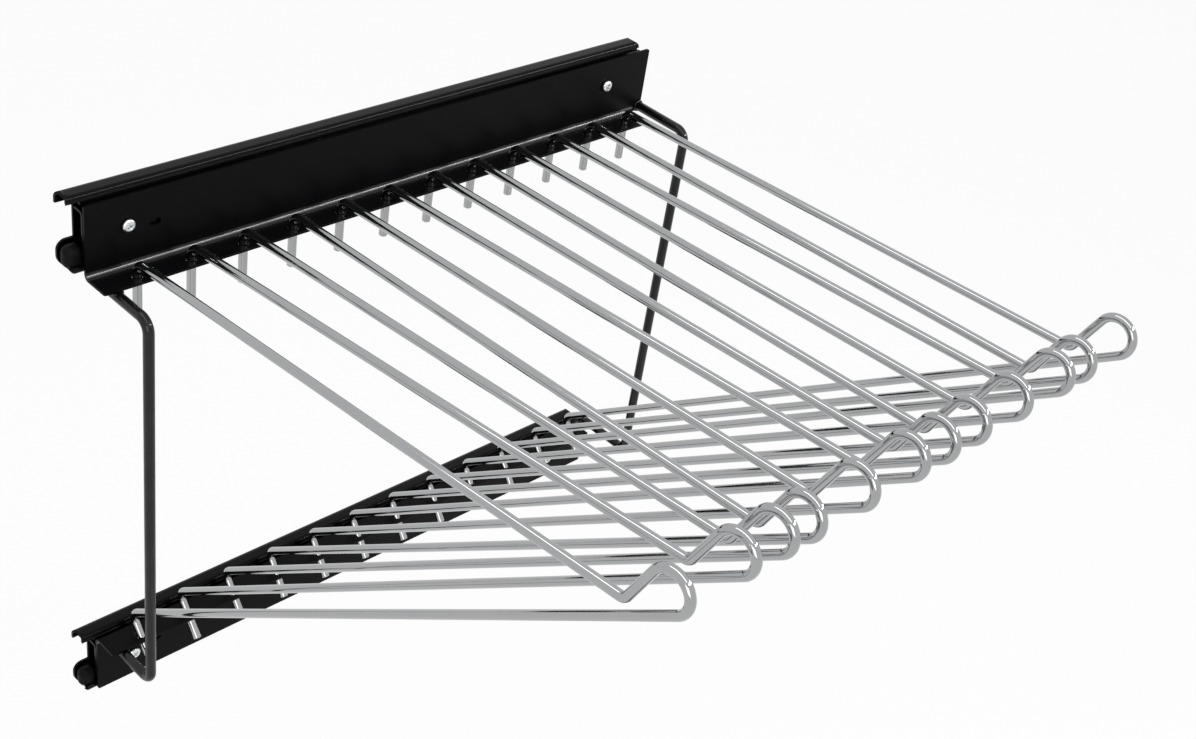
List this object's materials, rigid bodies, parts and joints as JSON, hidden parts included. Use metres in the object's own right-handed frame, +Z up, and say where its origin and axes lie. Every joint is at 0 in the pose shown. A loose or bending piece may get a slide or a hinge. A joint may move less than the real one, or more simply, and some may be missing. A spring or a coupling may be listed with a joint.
{
  "type": "pull out trouser rack",
  "caption": "Side-mounted pull-out trouser rack: swivelling chrome wire hangers in folded black carriers on full-extension ball rails.",
  "frame": {"origin": "middle of the upper rail's back face, where it lies on the side panel", "axes": "+X out of the side panel, +Y the way the rack pulls out of the wardrobe, +Z up"},
  "size_m": [0.3946, 0.4085, 0.3476],
  "materials": {
    "black_paint": "semi-gloss black powder coat",
    "chrome_wire": "bright polished chrome plate",
    "zinc_screw": "bright zinc plate",
    "cage_steel": "bare bright steel",
    "rubber_buffer": "matt black rubber"
  },
  "bodies": {
    "root": {"outer_rail_upper": "black_paint", "outer_rail_lower": "black_paint", "rear_buffer_upper": "rubber_buffer", "rear_buffer_lower": "rubber_buffer"},
    "carriage": {"inner_rail_upper": "black_paint", "inner_rail_lower": "black_paint", "carrier_upper": "black_paint", "carrier_lower": "black_paint", "carrier_screw_upper_rear": "zinc_screw", "carrier_screw_upper_front": "zinc_screw", "carrier_screw_lower_rear": "zinc_screw", "carrier_screw_lower_front": "zinc_screw", "joining_rod_rear": "black_paint", "joining_rod_front": "black_paint"},
    "middle_rail_upper": {"middle_rail_upper": "black_paint"},
    "outer_ball_cage_upper": {"outer_ball_cage_upper": "cage_steel"},
    "inner_ball_cage_upper": {"inner_ball_cage_upper": "cage_steel"},
    "middle_rail_lower": {"middle_rail_lower": "black_paint"},
    "outer_ball_cage_lower": {"outer_ball_cage_lower": "cage_steel"},
    "inner_ball_cage_lower": {"inner_ball_cage_lower": "cage_steel"},
    "hanger_01": {"hanger_01": "chrome_wire"},
    "hanger_02": {"hanger_02": "chrome_wire"},
    "hanger_03": {"hanger_03": "chrome_wire"},
    "hanger_04": {"hanger_04": "chrome_wire"},
    "hanger_05": {"hanger_05": "chrome_wire"},
    "hanger_06": {"hanger_06": "chrome_wire"},
    "hanger_07": {"hanger_07": "chrome_wire"},
    "hanger_08": {"hanger_08": "chrome_wire"},
    "hanger_09": {"hanger_09": "chrome_wire"},
    "hanger_10": {"hanger_10": "chrome_wire"},
    "hanger_11": {"hanger_11": "chrome_wire"},
    "hanger_12": {"hanger_12": "chrome_wire"}
  },
  "joints": [
    {"name": "pull_out", "type": "slide", "parent": "root", "child": "carriage", "axis": [0, 1, 0], "range_m": [0, 0.4]},
    {"name": "middle_rail_upper_slide", "type": "slide", "parent": "root", "child": "middle_rail_upper", "axis": [0, 1, 0], "range_m": [0, 0.2]},
    {"name": "outer_ball_cage_upper_slide", "type": "slide", "parent": "root", "child": "outer_ball_cage_upper", "axis": [0, 1, 0], "range_m": [0, 0.1]},
    {"name": "inner_ball_cage_upper_slide", "type": "slide", "parent": "root", "child": "inner_ball_cage_upper", "axis": [0, 1, 0], "range_m": [0, 0.3]},
    {"name": "middle_rail_lower_slide", "type": "slide", "parent": "root", "child": "middle_rail_lower", "axis": [0, 1, 0], "range_m": [0, 0.2]},
    {"name": "outer_ball_cage_lower_slide", "type": "slide", "parent": "root", "child": "outer_ball_cage_lower", "axis": [0, 1, 0], "range_m": [0, 0.1]},
    {"name": "inner_ball_cage_lower_slide", "type": "slide", "parent": "root", "child": "inner_ball_cage_lower", "axis": [0, 1, 0], "range_m": [0, 0.3]},
    {"name": "hanger_01_swing", "type": "hinge", "parent": "carriage", "child": "hanger_01", "pos_m": [0.0255, -0.1697, -0.024], "axis": [0, 0, 1], "range_deg": [-12, 2.6]},
    {"name": "hanger_02_swing", "type": "hinge", "parent": "carriage", "child": "hanger_02", "pos_m": [0.0255, -0.1377, -0.024], "axis": [0, 0, 1], "range_deg": [-2.6, 1.3]},
    {"name": "hanger_03_swing", "type": "hinge", "parent": "carriage", "child": "hanger_03", "pos_m": [0.0255, -0.1057, -0.024], "axis": [0, 0, 1], "range_deg": [-1.3, 0.9]},
    {"name": "hanger_04_swing", "type": "hinge", "parent": "carriage", "child": "hanger_04", "pos_m": [0.0255, -0.0737, -0.024], "axis": [0, 0, 1], "range_deg": [-0.9, 2.3]},
    {"name": "hanger_05_swing", "type": "hinge", "parent": "carriage", "child": "hanger_05", "pos_m": [0.0255, -0.0417, -0.024], "axis": [0, 0, 1], "range_deg": [-2.3, 2.4]},
    {"name": "hanger_06_swing", "type": "hinge", "parent": "carriage", "child": "hanger_06", "pos_m": [0.0255, -0.0097, -0.024], "axis": [0, 0, 1], "range_deg": [-2.4, 1.3]},
    {"name": "hanger_07_swing", "type": "hinge", "parent": "carriage", "child": "hanger_07", "pos_m": [0.0255, 0.0223, -0.024], "axis": [0, 0, 1], "range_deg": [-1.3, 1.4]},
    {"name": "hanger_08_swing", "type": "hinge", "parent": "carriage", "child": "hanger_08", "pos_m": [0.0255, 0.0543, -0.024], "axis": [0, 0, 1], "range_deg": [-1.4, 2.2]},
    {"name": "hanger_09_swing", "type": "hinge", "parent": "carriage", "child": "hanger_09", "pos_m": [0.0255, 0.0863, -0.024], "axis": [0, 0, 1], "range_deg": [-2.2, 2.4]},
    {"name": "hanger_10_swing", "type": "hinge", "parent": "carriage", "child": "hanger_10", "pos_m": [0.0255, 0.1183, -0.024], "axis": [0, 0, 1], "range_deg": [-2.4, 1.1]},
    {"name": "hanger_11_swing", "type": "hinge", "parent": "carriage", "child": "hanger_11", "pos_m": [0.0255, 0.1503, -0.024], "axis": [0, 0, 1], "range_deg": [-1.1, 2.5]},
    {"name": "hanger_12_swing", "type": "hinge", "parent": "carriage", "child": "hanger_12", "pos_m": [0.0255, 0.1823, -0.024], "axis": [0, 0, 1], "range_deg": [-2.5, 20]}
  ],
  "couplings": [
    {"joint": "middle_rail_upper_slide", "follows": "pull_out", "ratio": 0.5},
    {"joint": "outer_ball_cage_upper_slide", "follows": "pull_out", "ratio": 0.25},
    {"joint": "inner_ball_cage_upper_slide", "follows": "pull_out", "ratio": 0.75},
    {"joint": "middle_rail_lower_slide", "follows": "pull_out", "ratio": 0.5},
    {"joint": "outer_ball_cage_lower_slide", "follows": "pull_out", "ratio": 0.25},
    {"joint": "inner_ball_cage_lower_slide", "follows": "pull_out", "ratio": 0.75}
  ]
}
